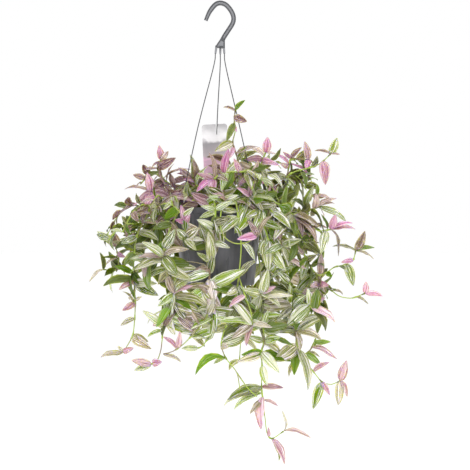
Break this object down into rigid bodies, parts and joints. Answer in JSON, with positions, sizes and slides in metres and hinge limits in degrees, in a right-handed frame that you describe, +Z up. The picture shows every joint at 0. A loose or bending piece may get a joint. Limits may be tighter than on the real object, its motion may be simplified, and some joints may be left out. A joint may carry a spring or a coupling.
{
  "type": "potted tradescantia",
  "caption": "Trailing tradescantia with striped green, cream and pink leaves in a round dark plastic pot, hung by plastic strands from a hooked hanger.",
  "frame": {"origin": "the seat of the hook, the middle of the flat land inside the top of its crook", "axes": "+Z up along the hanging load, X across the crook with +X toward the hook's shank, +Y away from the side that the picture shows"},
  "size_m": [0.49, 0.2732, 0.7627],
  "materials": {
    "pot_plastic": "satin",
    "soil": "matte",
    "hanger_plastic": "satin",
    "label_plastic": "satin",
    "leaf_striped": "satin",
    "leaf_pink": "satin",
    "leaf_mauve": "satin",
    "leaf_cream": "satin"
  },
  "bodies": {
    "root": {"pot": "pot_plastic", "soil": "soil", "hanger_hook": "hanger_plastic", "hanger_strand_left": "hanger_plastic", "hanger_strand_right": "hanger_plastic", "hanger_strand_rear": "hanger_plastic", "plant_label": "label_plastic", "stem_crown_tall": "leaf_striped", "stem_crown_arch": "leaf_pink", "stem_crown_left": "leaf_striped", "stem_left_high": "leaf_mauve", "stem_left_pink": "leaf_pink", "stem_left_thin": "leaf_striped", "stem_left_long": "leaf_mauve", "stem_left_far": "leaf_striped", "stem_left_small": "leaf_striped", "stem_pink_front": "leaf_striped", "stem_front_left": "leaf_striped", "stem_front_middle": "leaf_striped", "stem_front_loop": "leaf_striped", "stem_front_mauve": "leaf_striped", "stem_right_high": "leaf_pink", "stem_right_crest": "leaf_pink", "stem_right_tip": "leaf_striped", "stem_right_front": "leaf_mauve", "stem_right_far": "leaf_striped", "stem_right_low": "leaf_striped", "stem_trail_front": "leaf_striped", "stem_trail_right": "leaf_striped", "stem_trail_middle": "leaf_striped", "stem_back_1": "leaf_striped", "stem_back_2": "leaf_striped", "stem_back_3": "leaf_mauve", "stem_back_4": "leaf_striped", "stem_back_5": "leaf_cream", "stem_back_6": "leaf_striped", "stem_back_7": "leaf_pink", "stem_back_8": "leaf_striped", "stem_crown_1": "leaf_striped", "stem_crown_2": "leaf_striped", "stem_crown_3": "leaf_mauve", "stem_crown_4": "leaf_striped", "stem_crown_5": "leaf_striped", "stem_crown_6": "leaf_striped"}
  },
  "joints": []
}
